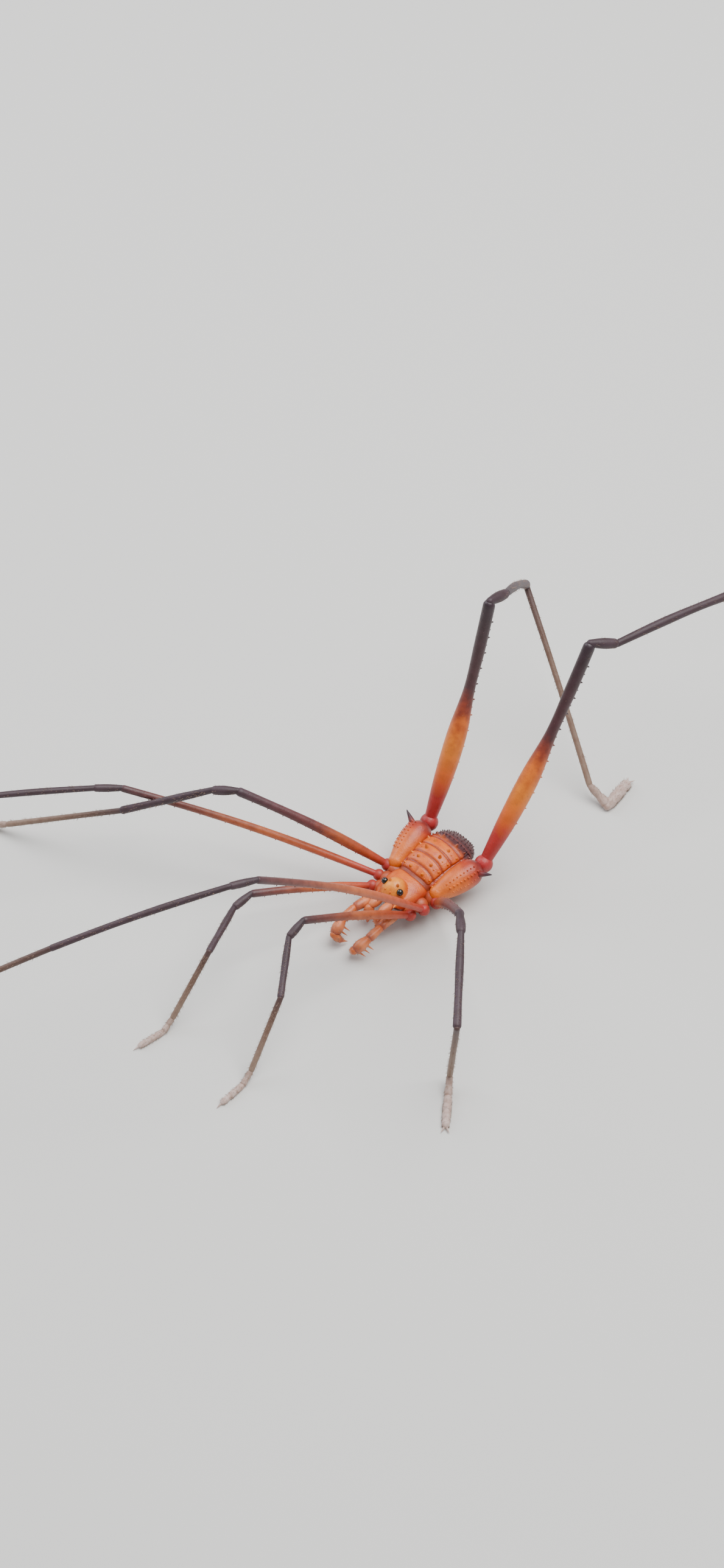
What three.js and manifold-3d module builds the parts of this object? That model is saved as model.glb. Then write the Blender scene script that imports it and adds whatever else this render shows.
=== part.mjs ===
// Armoured harvestman at life size, still, standing on six feet with the hind legs raised.
// Millimetres, +Z up, floor at z = 0. Head towards -Y, the animal's left side on +X.
import * as THREE from "three";
import { mergeVertices } from "three/addons/utils/BufferGeometryUtils.js";
import Module from "manifold-3d";

const wasm = await Module();
wasm.setup();

const gap = 0.3; // between neighbouring parts
const footDepth = 0.08; // how far the sole of a foot is flattened

// The trunk, as stations along Y: half width, top and bottom
const trunkStations = [
  { y: -5.3, half: 1.2, top: 2.95, bottom: 1.9 },
  { y: -4.8, half: 1.65, top: 3.25, bottom: 1.45 },
  { y: -3.9, half: 1.95, top: 3.45, bottom: 1.1 },
  { y: -2.8, half: 2.05, top: 3.5, bottom: 0.95 },
  { y: -1.8, half: 2.0, top: 3.45, bottom: 0.9 },
  { y: -0.7, half: 2.15, top: 3.95, bottom: 0.85 },
  { y: 0.8, half: 2.3, top: 4.35, bottom: 0.85 },
  { y: 2.2, half: 2.35, top: 4.25, bottom: 0.9 },
  { y: 3.4, half: 2.2, top: 3.85, bottom: 1.1 },
  { y: 4.4, half: 1.85, top: 3.35, bottom: 1.4 },
  { y: 5.0, half: 1.15, top: 2.85, bottom: 1.9 },
];
const shieldEdge = 2.45; // height of the side edge of the dorsal shield
const waist = -1.75; // Y of the furrow behind the carapace
const shieldEnd = 3.7; // Y of the rear edge of the shield
const grooves = [-0.75, 0.35, 1.45, 2.6]; // Y of the furrows between the areas of the back
const grooveDepth = 0.16;
const grooveWidth = 0.26;

const eyeMound = { at: [0, -4.2, 3.4], radii: [1.15, 1.25, 1.0] };
const moundSpike = { at: [0.42, -4.15, 4.3], lean: 0.25, radius: 0.22, height: 0.4 };
const eye = { out: 0.95, y: -4.35, z: 3.95, radius: 0.32, gap: 0.15 };

// Joints of the mouthparts on the left side, X is mirrored for the right
const chelicera = {
  bulla: { at: [0.62, -5.8, 2.6], radii: [0.46, 0.95, 0.5] },
  hand: { at: [0.64, -6.7, 1.95], radii: [0.46, 0.55, 0.85] },
  fingers: [
    { from: [0.54, -6.75, 1.5], to: [0.56, -7.0, 0.65], radius: 0.26 },
    { from: [0.8, -6.45, 1.5], to: [0.62, -6.6, 0.7], radius: 0.26 },
  ],
};
const palpJoints = [
  [1.35, -5.4, 1.85],
  [1.65, -7.7, 2.3],
  [1.6, -9.1, 2.0],
  [1.3, -10.5, 1.35],
  [0.7, -10.1, 0.6],
];

// The last coxa: a stout lobe beside the shield, with a spur at its outer end
const lastCoxa = {
  root: [2.6, -1.2, 2.5], end: [3.4, 3.1, 3.05], radii: [0.75, 1.15, 1.3, 1.15], tip: 0.5,
  spur: { at: [4.3, 2.55, 3.45], along: [0.85, 0.3, 0.4], radius: 0.34, height: 1.35 },
};
const coxaRoots = { 1: [0.5, -3.0, 1.6], 2: [0.6, -2.3, 1.5], 3: [0.7, -1.4, 1.5] };

// Legs: length and radii of each segment. The tarsus has a heel that slopes down and a flat sole.
const legs = {
  1: {
    hip: [2.4, -4.5, 2.1], trochanter: 0.55, ankle: 0.85,
    femur: { length: 11.4, radii: [0.3, 0.4, 0.4, 0.36, 0.36], bow: 0.3 },
    patella: { length: 2.0, radii: [0.28, 0.38, 0.36] },
    tibia: { length: 5.8, radii: [0.27, 0.33, 0.3, 0.32] },
    metatarsus: { length: 7.0, radii: [0.26, 0.26, 0.26] },
    heel: { length: 1.4, radii: [0.26, 0.28] },
    sole: { length: 2.6, radii: [0.28, 0.3, 0.27], claws: 1 },
  },
  2: {
    hip: [2.85, -3.2, 2.1], trochanter: 0.55, ankle: 0.85,
    femur: { length: 24.0, radii: [0.3, 0.37, 0.36, 0.33, 0.34], bow: 0.7 },
    patella: { length: 2.5, radii: [0.28, 0.36, 0.34] },
    tibia: { length: 16.0, radii: [0.27, 0.31, 0.28, 0.3], bow: 0.3 },
    metatarsus: { length: 19.0, radii: [0.26, 0.26, 0.25], bow: 0.4 },
    heel: { length: 4.0, radii: [0.25, 0.25] },
    sole: { length: 5.6, radii: [0.25, 0.25, 0.25], bow: 0.3, claws: 1 },
  },
  3: {
    hip: [3.1, -1.8, 2.1], trochanter: 0.6, ankle: 1.1,
    femur: { length: 15.4, radii: [0.34, 0.48, 0.46, 0.4, 0.42], bow: 0.4 },
    patella: { length: 2.3, radii: [0.3, 0.44, 0.4] },
    tibia: { length: 9.2, radii: [0.29, 0.37, 0.34, 0.38] },
    metatarsus: { length: 12.5, radii: [0.27, 0.26, 0.28] },
    heel: { length: 1.9, radii: [0.28, 0.36] },
    sole: { length: 3.2, radii: [0.36, 0.38, 0.33], claws: 2 },
  },
  4: {
    hip: [3.45, 3.9, 3.0], trochanter: 0.86, ankle: 1.5,
    femur: { length: 22.0, radii: [0.52, 0.86, 0.9, 0.52, 0.56, 0.56], bow: -0.9, spines: 9 },
    patella: { length: 2.7, radii: [0.36, 0.5, 0.44] },
    tibia: { length: 14.4, radii: [0.34, 0.4, 0.36, 0.46], bow: 0.3 },
    metatarsus: { length: 19.6, radii: [0.3, 0.27, 0.3], bow: 0.3 },
    heel: { length: 2.5, radii: [0.32, 0.5] },
    sole: { length: 3.5, radii: [0.5, 0.54, 0.46], claws: 2 },
  },
};
const segments = ["femur", "patella", "tibia", "metatarsus", "heel", "sole"];

// Turn is the compass angle from +X and rise the angle above the floor, in degrees.
// Without a rise a metatarsus slopes down to its ankle, a heel to the floor, and a sole lies on it.
const poses = {
  leg1_right: [[-116, 17], [-93, -8], [-66, 6], [-88], [-84], [-98]],
  leg1_left: [[-108, 27], [-84, -12], [-52, -14], [-76], [-80], [-88]],
  leg2_right: [[-147, 15], [-128, 8], [-126, 2], [-128, -12], [-130, -12], [-132, -12]],
  leg2_left: [[-100, 44], [-110, 10], [-120, -12], [-126, -28], [-129, -34], [-131, -36]],
  leg3_right: [[-142, 32], [-142, -6], [-140, -24], [-150], [-156], [-160]],
  leg3_left: [[-36, 48], [-44, 8], [-48, -8], [140], [-50], [-50]],
  leg4_right: [[103, 64.6], [97, -23], [122, -43], [-23.5], [3], [100]],
  leg4_left: [[93.6, 52.4], [62, -18], [78, -5], [40], [36], [28]],
};

const finish = (color, roughness) => new THREE.MeshStandardMaterial({ color, roughness, metalness: 0 });
const materials = {
  shield: () => finish("#d8813f", 0.45),
  mound: () => finish("#e8a24e", 0.42),
  rear: () => finish("#5a3a3c", 0.4),
  underside: () => finish("#a8553a", 0.5),
  coxa: () => finish("#cf6f3c", 0.45),
  mouth: () => finish("#d98f66", 0.45),
  eye: () => finish("#0c0a0a", 0.08),
  femur: () => finish("#d2743c", 0.5),
  joint: () => finish("#4a3538", 0.45),
  metatarsus: () => finish("#7b6455", 0.6),
  tarsus: () => finish("#c9b5ac", 0.75),
};

const up = new THREE.Vector3(0, 0, 1);
const vector = (xyz) => new THREE.Vector3(...xyz);
const mirrored = ([x, y, z], side) => [x * side, y, z];

// A primitive with its seams closed, still in its own place
function welded(geometry) {
  geometry.deleteAttribute("normal");
  geometry.deleteAttribute("uv");
  return mergeVertices(geometry, 1e-4);
}

// A welded geometry as a solid that can be joined and cut
function solid(geometry) {
  return new wasm.Manifold(
    new wasm.Mesh({
      numProp: 3,
      vertProperties: new Float32Array(geometry.attributes.position.array),
      triVerts: new Uint32Array(geometry.index.array),
    }),
  );
}

function largest(shape) {
  return shape.decompose().reduce((best, piece) => (piece.volume() > best.volume() ? piece : best));
}

function node(name, shape, material) {
  const { vertProperties, triVerts } = largest(shape).getMesh();
  const geometry = new THREE.BufferGeometry();
  geometry.setAttribute("position", new THREE.BufferAttribute(vertProperties, 3));
  geometry.setIndex(new THREE.BufferAttribute(triVerts, 1));
  geometry.computeVertexNormals();
  const mesh = new THREE.Mesh(geometry, material);
  mesh.name = name;
  return mesh;
}

function ellipsoid({ at, radii }, around = 14, down = 8) {
  const geometry = welded(new THREE.SphereGeometry(1, around, down));
  geometry.scale(...radii);
  geometry.translate(...at);
  return solid(geometry);
}

function ball(at, radius, around = 10, down = 6) {
  return ellipsoid({ at, radii: [radius, radius, radius] }, around, down);
}

function box([x0, y0, z0], [x1, y1, z1]) {
  const geometry = welded(new THREE.BoxGeometry(x1 - x0, y1 - y0, z1 - z0));
  geometry.translate((x0 + x1) / 2, (y0 + y1) / 2, (z0 + z1) / 2);
  return solid(geometry);
}

// Places a shape that was made along +Y from the origin
function aim(geometry, from, along) {
  const axis = along.clone().normalize();
  const reference = Math.abs(axis.z) > 0.99 ? new THREE.Vector3(0, 1, 0) : up;
  const flank = new THREE.Vector3().crossVectors(axis, reference).normalize();
  const dorsal = new THREE.Vector3().crossVectors(flank, axis);
  const frame = new THREE.Matrix4().makeBasis(dorsal, axis, new THREE.Vector3().crossVectors(dorsal, axis));
  geometry.applyMatrix4(frame.setPosition(from));
  return geometry;
}

// A rod from one joint to the next: a ball at its root, radii in even steps, bowed up or, below 0, down
function rod(from, to, { radii, bow = 0, sides = 8, rings = 2, tip = 0 }) {
  const along = vector(to).sub(vector(from));
  const length = along.length();
  const step = length / (radii.length - 1);
  const curve = new THREE.SplineCurve(radii.map((r, i) => new THREE.Vector2(r, i * step)));
  const rootSteps = 2;
  const outline = [new THREE.Vector2(0, -radii[0])];
  for (let i = 1; i < rootSteps; i += 1) {
    const angle = (i / rootSteps) * (Math.PI / 2);
    outline.push(new THREE.Vector2(radii[0] * Math.sin(angle), -radii[0] * Math.cos(angle)));
  }
  outline.push(...curve.getPoints(rings * (radii.length - 1)));
  if (tip > 0) outline.push(new THREE.Vector2(radii.at(-1) * 0.55, length + tip * 0.8));
  outline.push(new THREE.Vector2(0, length + tip));
  const geometry = welded(new THREE.LatheGeometry(outline, sides));
  const points = geometry.attributes.position;
  for (let i = 0; i < points.count; i += 1) {
    const share = THREE.MathUtils.clamp(points.getY(i) / length, 0, 1);
    points.setX(i, points.getX(i) + bow * Math.sin(Math.PI * share));
  }
  return solid(aim(geometry, vector(from), along));
}

// A pointed tubercle or spine, its root sunk below the surface
function spike(at, along, radius, height, sides = 5) {
  const root = height * 0.6 + radius * 0.4;
  const geometry = welded(new THREE.ConeGeometry(radius, height + root, sides));
  geometry.translate(0, (height - root) / 2, 0);
  return solid(aim(geometry, vector(at), along));
}

// The trunk as rings along Y, closed at both ends
const trunkPlan = new THREE.CatmullRomCurve3(
  trunkStations.map(({ y, half, top }) => new THREE.Vector3(y, half, top)), false, "catmullrom");
const trunkBelly = new THREE.CatmullRomCurve3(
  trunkStations.map(({ y, bottom }) => new THREE.Vector3(y, bottom, 0)), false, "catmullrom");

function trunkPoint(share, angle, grow) {
  const { x: y, y: half, z: top } = trunkPlan.getPoint(share);
  const bottom = trunkBelly.getPoint(share).y;
  const middle = (top + bottom) / 2;
  const furrow = grooves.reduce((sum, g) => sum + Math.exp(-(((y - g) / grooveWidth) ** 2)), 0);
  const dip = grow > 0 ? 0 : grooveDepth * furrow;
  const across = Math.sign(Math.cos(angle)) * Math.abs(Math.cos(angle)) ** 0.9;
  const height = Math.sign(Math.sin(angle)) * Math.abs(Math.sin(angle)) ** 0.9;
  const reach = height > 0 ? top - middle - dip * height : middle - bottom;
  return new THREE.Vector3(across * (half + grow), y, middle + height * (reach + grow));
}

function trunk(grow) {
  const rings = grow > 0 ? 16 : 34;
  const sides = 18;
  const positions = [];
  const faces = [];
  for (let i = 0; i <= rings; i += 1) {
    for (let j = 0; j < sides; j += 1) {
      const point = trunkPoint(i / rings, (j / sides) * 2 * Math.PI, grow);
      if (i === 0) point.y -= grow;
      if (i === rings) point.y += grow;
      positions.push(point.x, point.y, point.z);
      if (i === rings) continue;
      const next = (j + 1) % sides;
      const [a, b, c, d] = [i * sides + j, i * sides + next, (i + 1) * sides + j, (i + 1) * sides + next];
      faces.push(a, c, b, b, c, d);
    }
  }
  for (let j = 1; j < sides - 1; j += 1) {
    const last = rings * sides;
    faces.push(0, j, j + 1);
    faces.push(last, last + j + 1, last + j);
  }
  const geometry = new THREE.BufferGeometry();
  geometry.setAttribute("position", new THREE.Float32BufferAttribute(positions, 3));
  geometry.setIndex(faces);
  return solid(geometry);
}

// A tubercle on the back, by its share of the trunk's length and its angle round it
function tubercle(share, angle, radius, height) {
  const at = trunkPoint(share, angle, 0);
  const ahead = trunkPoint(share + 0.01, angle, 1e-6).sub(trunkPoint(share - 0.01, angle, 1e-6));
  const round = trunkPoint(share, angle + 0.05, 0).sub(trunkPoint(share, angle - 0.05, 0));
  const outward = new THREE.Vector3().crossVectors(ahead, round).normalize();
  return spike(at.toArray(), outward, radius, height);
}

function shareAt(y) {
  let [low, high] = [0, 1];
  for (let i = 0; i < 30; i += 1) {
    const middle = (low + high) / 2;
    if (trunkPlan.getPoint(middle).x < y) low = middle;
    else high = middle;
  }
  return low;
}

const wide = 30;
const wholeTrunk = trunk(0);
const grownTrunk = trunk(gap);

function trunkPart(y0, y1, dorsal) {
  const z0 = dorsal ? shieldEdge + gap / 2 : -wide;
  const z1 = dorsal ? wide : shieldEdge - gap / 2;
  return wholeTrunk.intersect(box([-wide, y0, z0], [wide, y1, z1]));
}

function hipOf(leg, side) {
  return mirrored(legs[leg].hip, side);
}

function withoutHips(shape) {
  let left = shape;
  for (const leg of Object.keys(legs)) {
    for (const side of [1, -1]) left = left.subtract(ball(hipOf(leg, side), legs[leg].trochanter + gap));
  }
  return left;
}

function backRows() {
  const rows = [];
  const areas = [-1.25, -0.2, 0.9, 2.0, 3.1];
  areas.forEach((y, i) => {
    for (const side of [1, -1]) {
      const middle = Math.PI / 2 - side * 0.32;
      rows.push(tubercle(shareAt(y), middle, 0.25, i === 2 ? 0.42 : 0.26));
      rows.push(tubercle(shareAt(y + 0.1), Math.PI / 2 - side * 0.8, 0.2, 0.2));
    }
  });
  for (let i = 0; i < 8; i += 1) {
    for (const side of [1, -1]) {
      rows.push(tubercle(shareAt(-1.1 + i * 0.62), Math.PI / 2 - side * 1.22, 0.19, 0.17));
    }
  }
  return rows;
}

function carapace() {
  let shape = trunkPart(-wide, waist - gap / 2, true);
  for (const x of [-1.1, -0.4, 0.4, 1.1]) {
    shape = shape.add(spike([x, -5.15, 2.85], new THREE.Vector3(x * 0.3, -1, 0.4), 0.2, 0.3));
  }
  return withoutHips(shape);
}

function scutum() {
  const rows = backRows().reduce((sum, bump) => sum.add(bump));
  const part = trunkPart(waist + gap / 2, shieldEnd - gap / 2, true);
  const room = box([-wide, waist + gap / 2, shieldEdge + gap / 2], [wide, shieldEnd - gap / 2, wide]);
  return withoutHips(part.add(rows.intersect(room)));
}

function freeTergites() {
  let shape = trunkPart(shieldEnd + gap / 2, wide, true);
  for (const angle of [-0.9, -0.45, 0, 0.45, 0.9]) {
    shape = shape.add(tubercle(shareAt(4.35), Math.PI / 2 + angle, 0.22, 0.28));
  }
  const room = box([-wide, shieldEnd + gap / 2, shieldEdge + gap / 2], [wide, wide, wide]);
  return withoutHips(shape.intersect(room));
}

function underside() {
  let shape = trunkPart(-wide, shieldEnd - gap / 2, false);
  for (const [leg, root] of Object.entries(coxaRoots)) {
    for (const side of [1, -1]) {
      const coxa = rod(mirrored(root, side), hipOf(leg, side), { radii: [0.5, 0.7, 0.8], rings: 1 });
      shape = shape.add(coxa);
    }
  }
  shape = shape.subtract(box([-wide, -wide, shieldEdge - gap / 2], [wide, wide, wide]));
  for (const side of [1, -1]) shape = shape.subtract(coxaFour(side, gap));
  return withoutHips(shape);
}

function analOperculum() {
  return trunkPart(shieldEnd + gap / 2, wide, false);
}

function eyeAt(side) {
  return [eye.out * side, eye.y, eye.z];
}

function mound() {
  let shape = ellipsoid(eyeMound, 16, 10);
  for (const side of [1, -1]) {
    const { at, lean, radius, height } = moundSpike;
    shape = shape.add(spike(mirrored(at, side), new THREE.Vector3(lean * side, 0, 1), radius, height));
    shape = shape.subtract(ball(eyeAt(side), eye.radius + eye.gap));
  }
  return shape.subtract(grownTrunk);
}

function coxaFour(side, grow = 0) {
  const { root, end, radii, tip } = lastCoxa;
  const grown = radii.map((r) => r + grow);
  return rod(mirrored(root, side), mirrored(end, side), { radii: grown, sides: 12, tip });
}

function coxaFourNode(side) {
  const { root, end, radii, spur } = lastCoxa;
  const along = vector(mirrored(spur.along, side));
  let shape = coxaFour(side).add(spike(mirrored(spur.at, side), along, spur.radius, spur.height, 8));
  const out = new THREE.Vector3(0.8 * side, 0, 0.6);
  for (let i = 0; i < 5; i += 1) {
    const middle = vector(mirrored(root, side)).lerp(vector(mirrored(end, side)), 0.3 + i * 0.13);
    shape = shape.add(spike(middle.addScaledVector(out, radii[1]).toArray(), out, 0.2, 0.2));
  }
  return withoutHips(shape.subtract(grownTrunk));
}

function cheliceraNode(side) {
  const { bulla, hand, fingers } = chelicera;
  let shape = ellipsoid({ at: mirrored(bulla.at, side), radii: bulla.radii });
  shape = shape.add(ellipsoid({ at: mirrored(hand.at, side), radii: hand.radii }));
  for (const { from, to, radius } of fingers) {
    const radii = [radius, radius * 0.9, 0.07];
    shape = shape.add(rod(mirrored(from, side), mirrored(to, side), { radii }));
  }
  return shape.subtract(grownTrunk);
}

function palpBase(side) {
  const [root, knee] = palpJoints.map((joint) => mirrored(joint, side));
  let shape = rod(root, knee, { radii: [0.42, 0.5, 0.46, 0.42], bow: 0.2 });
  for (let i = 0; i < 4; i += 1) {
    const at = vector(root).lerp(vector(knee), 0.25 + i * 0.17).add(new THREE.Vector3(0, 0, -0.35));
    shape = shape.add(spike(at.toArray(), new THREE.Vector3(0.2 * side, -0.2, -1), 0.2, 0.35));
  }
  return shape.subtract(ball(knee, 0.36 + gap)).subtract(grownTrunk);
}

function palpHand(side) {
  const [, knee, wrist, heel, tip] = palpJoints.map((joint) => mirrored(joint, side));
  let shape = rod(knee, wrist, { radii: [0.36, 0.42, 0.42], tip: 0.2 });
  shape = shape.add(rod(wrist, heel, { radii: [0.38, 0.55, 0.42], tip: 0.2 }));
  shape = shape.add(rod(heel, tip, { radii: [0.34, 0.38, 0.22], tip: 0.15 }));
  const claw = vector(tip).sub(vector(heel)).normalize();
  shape = shape.add(spike(tip, claw.add(new THREE.Vector3(0, 0.9, 0)), 0.2, 0.7));
  for (let i = 0; i < 3; i += 1) {
    const at = vector(wrist).lerp(vector(heel), 0.3 + i * 0.3);
    for (const lean of [1, -1]) {
      const out = new THREE.Vector3(lean * 0.8, 0.5, -0.75);
      const foot = at.clone().addScaledVector(out, 0.36);
      shape = shape.add(spike(foot.toArray(), out, 0.2, 0.75));
    }
  }
  return shape;
}

function direction([turn, rise]) {
  const [t, r] = [THREE.MathUtils.degToRad(turn), THREE.MathUtils.degToRad(rise)];
  return new THREE.Vector3(Math.cos(r) * Math.cos(t), Math.cos(r) * Math.sin(t), Math.sin(r));
}

function slopeDown(fromHeight, toHeight, length) {
  return THREE.MathUtils.radToDeg(-Math.asin((fromHeight - toHeight) / length));
}

// The joints of one leg from hip to toe
function jointsOf(leg, side, pose) {
  const sizes = legs[leg];
  const targets = {
    metatarsus: sizes.ankle,
    heel: sizes.heel.radii.at(-1) - footDepth,
    sole: sizes.sole.radii.at(-1) - footDepth,
  };
  const joints = [vector(hipOf(leg, side))];
  segments.forEach((segment, i) => {
    const from = joints.at(-1);
    const length = sizes[segment].length + (segment === "femur" ? sizes.trochanter : 0);
    const [turn, rise] = pose[i];
    const slope = rise ?? slopeDown(from.z, targets[segment], length);
    joints.push(from.clone().addScaledVector(direction([turn, slope]), length));
  });
  return joints;
}

// Rows of small spines below a hind femur
function femurSpines(from, to, { spines = 0, bow }) {
  const row = [];
  const along = to.clone().sub(from);
  const flank = new THREE.Vector3().crossVectors(along, up).normalize();
  const belly = new THREE.Vector3().crossVectors(along, flank).normalize();
  for (let i = 0; i < spines; i += 1) {
    const share = 0.2 + (i / spines) * 0.7;
    const middle = from.clone().addScaledVector(along, share);
    middle.addScaledVector(belly, -bow * Math.sin(Math.PI * share));
    for (const lean of [1, -1]) {
      const out = belly.clone().addScaledVector(flank, lean * 0.7).normalize();
      const at = middle.clone().addScaledVector(out, share < 0.5 ? 0.62 : 0.34);
      row.push(spike(at.toArray(), out, 0.2, 0.24 + 0.1 * (i % 2), 5));
    }
  }
  return row;
}

function clawsOf(toe, along, { claws }) {
  const flank = new THREE.Vector3().crossVectors(along, up).normalize();
  const spread = claws === 2 ? [1, -1] : [0];
  return spread.map((lean) => {
    const out = along.clone().addScaledVector(flank, lean * 0.5).addScaledVector(up, -0.2);
    const at = toe.clone().addScaledVector(along, 0.08).addScaledVector(flank, lean * 0.12);
    return spike(at.toArray(), out, 0.17, 0.6, 6);
  });
}

function tarsus(joints, sizes) {
  const [ankle, bend, toe] = joints.slice(-3);
  const along = toe.clone().sub(bend).normalize();
  let shape = rod(ankle.toArray(), bend.toArray(), { ...sizes.heel, rings: 1 });
  shape = shape.add(rod(bend.toArray(), toe.toArray(), { ...sizes.sole, tip: 0.15 }));
  for (const claw of clawsOf(toe, along, sizes.sole)) shape = shape.add(claw);
  return shape.subtract(box([-5 * wide, -5 * wide, -wide], [5 * wide, 5 * wide, 0]));
}

function legNodes(leg, side, name) {
  const sizes = legs[leg];
  const joints = jointsOf(leg, side, poses[name]);
  const finishes = { femur: "femur", patella: "joint", tibia: "joint", metatarsus: "metatarsus" };
  const nodes = Object.entries(finishes).map(([segment, material], i) => {
    const [from, to] = [joints[i], joints[i + 1]];
    let shape = rod(from.toArray(), to.toArray(), sizes[segment]);
    if (segment === "femur") {
      shape = shape.add(ball(from.toArray(), sizes.trochanter));
      for (const spine of femurSpines(from, to, sizes.femur)) shape = shape.add(spine);
    }
    const next = sizes[segments[i + 1]].radii[0] + gap;
    const onward = joints[i + 2].clone().sub(to).setLength(2.5).add(to);
    shape = shape.subtract(rod(to.toArray(), onward.toArray(), { radii: [next, next], rings: 1 }));
    return node(`${name}_${segment}`, shape, materials[material]());
  });
  return [...nodes, node(`${name}_tarsus`, tarsus(joints, sizes), materials.tarsus())];
}

const harvestman = new THREE.Group();
harvestman.add(
  node("carapace", carapace(), materials.shield()),
  node("scutum", scutum(), materials.shield()),
  node("free_tergites", freeTergites(), materials.rear()),
  node("anal_operculum", analOperculum(), materials.rear()),
  node("underside", underside(), materials.underside()),
  node("eye_mound", mound(), materials.mound()),
);
for (const [word, side] of [["left", 1], ["right", -1]]) {
  harvestman.add(
    node(`eye_${word}`, ball(eyeAt(side), eye.radius), materials.eye()),
    node(`chelicera_${word}`, cheliceraNode(side), materials.mouth()),
    node(`pedipalp_base_${word}`, palpBase(side), materials.mouth()),
    node(`pedipalp_hand_${word}`, palpHand(side), materials.mouth()),
    node(`coxa4_${word}`, coxaFourNode(side), materials.coxa()),
  );
  for (const leg of Object.keys(legs)) harvestman.add(...legNodes(leg, side, `leg${leg}_${word}`));
}

// The origin is on the floor below the middle of the whole animal
const extent = new THREE.Box3().setFromObject(harvestman);
const middle = extent.getCenter(new THREE.Vector3());
harvestman.position.set(-middle.x, -middle.y, 0);

export default harvestman;
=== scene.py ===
import math

import bpy
import numpy as np
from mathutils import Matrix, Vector


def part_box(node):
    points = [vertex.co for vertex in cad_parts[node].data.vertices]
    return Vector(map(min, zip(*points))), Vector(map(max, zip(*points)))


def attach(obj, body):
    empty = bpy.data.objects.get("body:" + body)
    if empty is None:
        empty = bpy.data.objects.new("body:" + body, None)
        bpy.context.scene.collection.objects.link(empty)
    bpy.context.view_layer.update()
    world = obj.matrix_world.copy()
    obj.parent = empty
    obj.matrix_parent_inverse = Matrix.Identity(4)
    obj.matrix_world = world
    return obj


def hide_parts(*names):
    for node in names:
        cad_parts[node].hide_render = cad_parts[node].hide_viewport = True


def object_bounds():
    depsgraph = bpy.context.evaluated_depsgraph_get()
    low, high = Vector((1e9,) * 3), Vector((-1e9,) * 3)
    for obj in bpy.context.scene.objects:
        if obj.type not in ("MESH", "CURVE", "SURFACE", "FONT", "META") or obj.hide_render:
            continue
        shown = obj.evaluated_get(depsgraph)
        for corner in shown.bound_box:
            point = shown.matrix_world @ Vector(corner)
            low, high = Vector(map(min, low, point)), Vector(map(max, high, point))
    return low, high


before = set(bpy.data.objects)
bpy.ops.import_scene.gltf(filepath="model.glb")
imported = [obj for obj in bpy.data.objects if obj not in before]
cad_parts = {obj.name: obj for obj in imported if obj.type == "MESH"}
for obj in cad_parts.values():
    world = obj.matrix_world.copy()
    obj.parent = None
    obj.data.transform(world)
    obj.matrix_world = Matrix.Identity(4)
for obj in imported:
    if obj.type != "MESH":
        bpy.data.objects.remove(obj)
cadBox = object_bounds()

# Armoured harvestman, life size. Sizes are in millimetres and turned to metres where a mesh is made.
# Head towards -Y, the animal's left side on +X, floor at z = 0.
mm = 0.001
random = np.random.default_rng(7)
print("scene: frame loaded,", len(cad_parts), "solids")

# The solids stand round the middle of the whole animal. The eyes give the step from there to the body.
bodyEye = {"out": 0.95, "y": -4.35, "z": 3.95, "radius": 0.32}
eyeCorners = [corner for side in ("left", "right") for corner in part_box("eye_" + side)]
eyeMiddle = sum(eyeCorners, Vector()) / len(eyeCorners)
bodyShift = np.array([eyeMiddle.x / mm, eyeMiddle.y / mm - bodyEye["y"], 0.0])


# Small helpers for numbers

def smoothThrough(places, values, at):  # a soft curve through a few stations
    x, y = np.array(places, float), np.array(values, float)
    slope = np.gradient(y, x)
    i = np.clip(np.searchsorted(x, at) - 1, 0, len(x) - 2)
    span = x[i + 1] - x[i]
    t = np.clip((at - x[i]) / span, 0, 1)
    start = (2 * t**3 - 3 * t**2 + 1) * y[i] + (t**3 - 2 * t**2 + t) * span * slope[i]
    return start + (3 * t**2 - 2 * t**3) * y[i + 1] + (t**3 - t**2) * span * slope[i + 1]


def bell(value, width):
    return np.exp(-((value / width) ** 2))


def softStep(value, width):  # from 0 to 1 where the value passes 0
    return 1 / (1 + np.exp(-value / width))


def unit(vector):
    return np.array(vector, float) / np.linalg.norm(vector)


def direction(turn, rise):
    t, r = math.radians(turn), math.radians(rise)
    return np.array([math.cos(r) * math.cos(t), math.cos(r) * math.sin(t), math.sin(r)])


def mirrored(point, side):
    return np.array([point[0] * side, point[1], point[2]], float)


# Small helpers for meshes

creaseAngle = 50  # degrees; a sharper edge than this stays an edge


def clearSelection():
    bpy.ops.object.select_all(action="DESELECT")


def coordinates(piece):
    flat = np.empty(len(piece.data.vertices) * 3)
    piece.data.vertices.foreach_get("co", flat)
    return flat.reshape(-1, 3)


def place(piece, points):  # takes millimetres of the body, writes metres of the frame
    piece.data.vertices.foreach_set("co", ((points + bodyShift) * mm).ravel())
    piece.data.update()


def keepInside(piece):  # nothing goes below the floor or out of the solids' own box
    low, high = (np.array(corner) for corner in cadBox)
    piece.data.vertices.foreach_set("co", np.clip(coordinates(piece), low, high).ravel())


def mark(piece, name, values):  # a number on each vertex, which the materials read
    layer = piece.data.attributes.get(name) or piece.data.attributes.new(name, "FLOAT", "POINT")
    spread = np.broadcast_to(np.asarray(values, float), len(piece.data.vertices))
    layer.data.foreach_set("value", spread.copy())


def ballPrimitive(name, around, rings):
    clearSelection()
    bpy.ops.mesh.primitive_uv_sphere_add(segments=around, ring_count=rings, radius=1)
    piece = bpy.context.object
    piece.name = name
    piece.data.name = name
    return piece


def joinPieces(name, pieces):
    clearSelection()
    for piece in pieces:
        piece.select_set(True)
    bpy.context.view_layer.objects.active = joined = pieces[0]
    if len(pieces) > 1:
        bpy.ops.object.join()
    joined.name = name
    joined.data.name = name
    return joined


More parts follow.
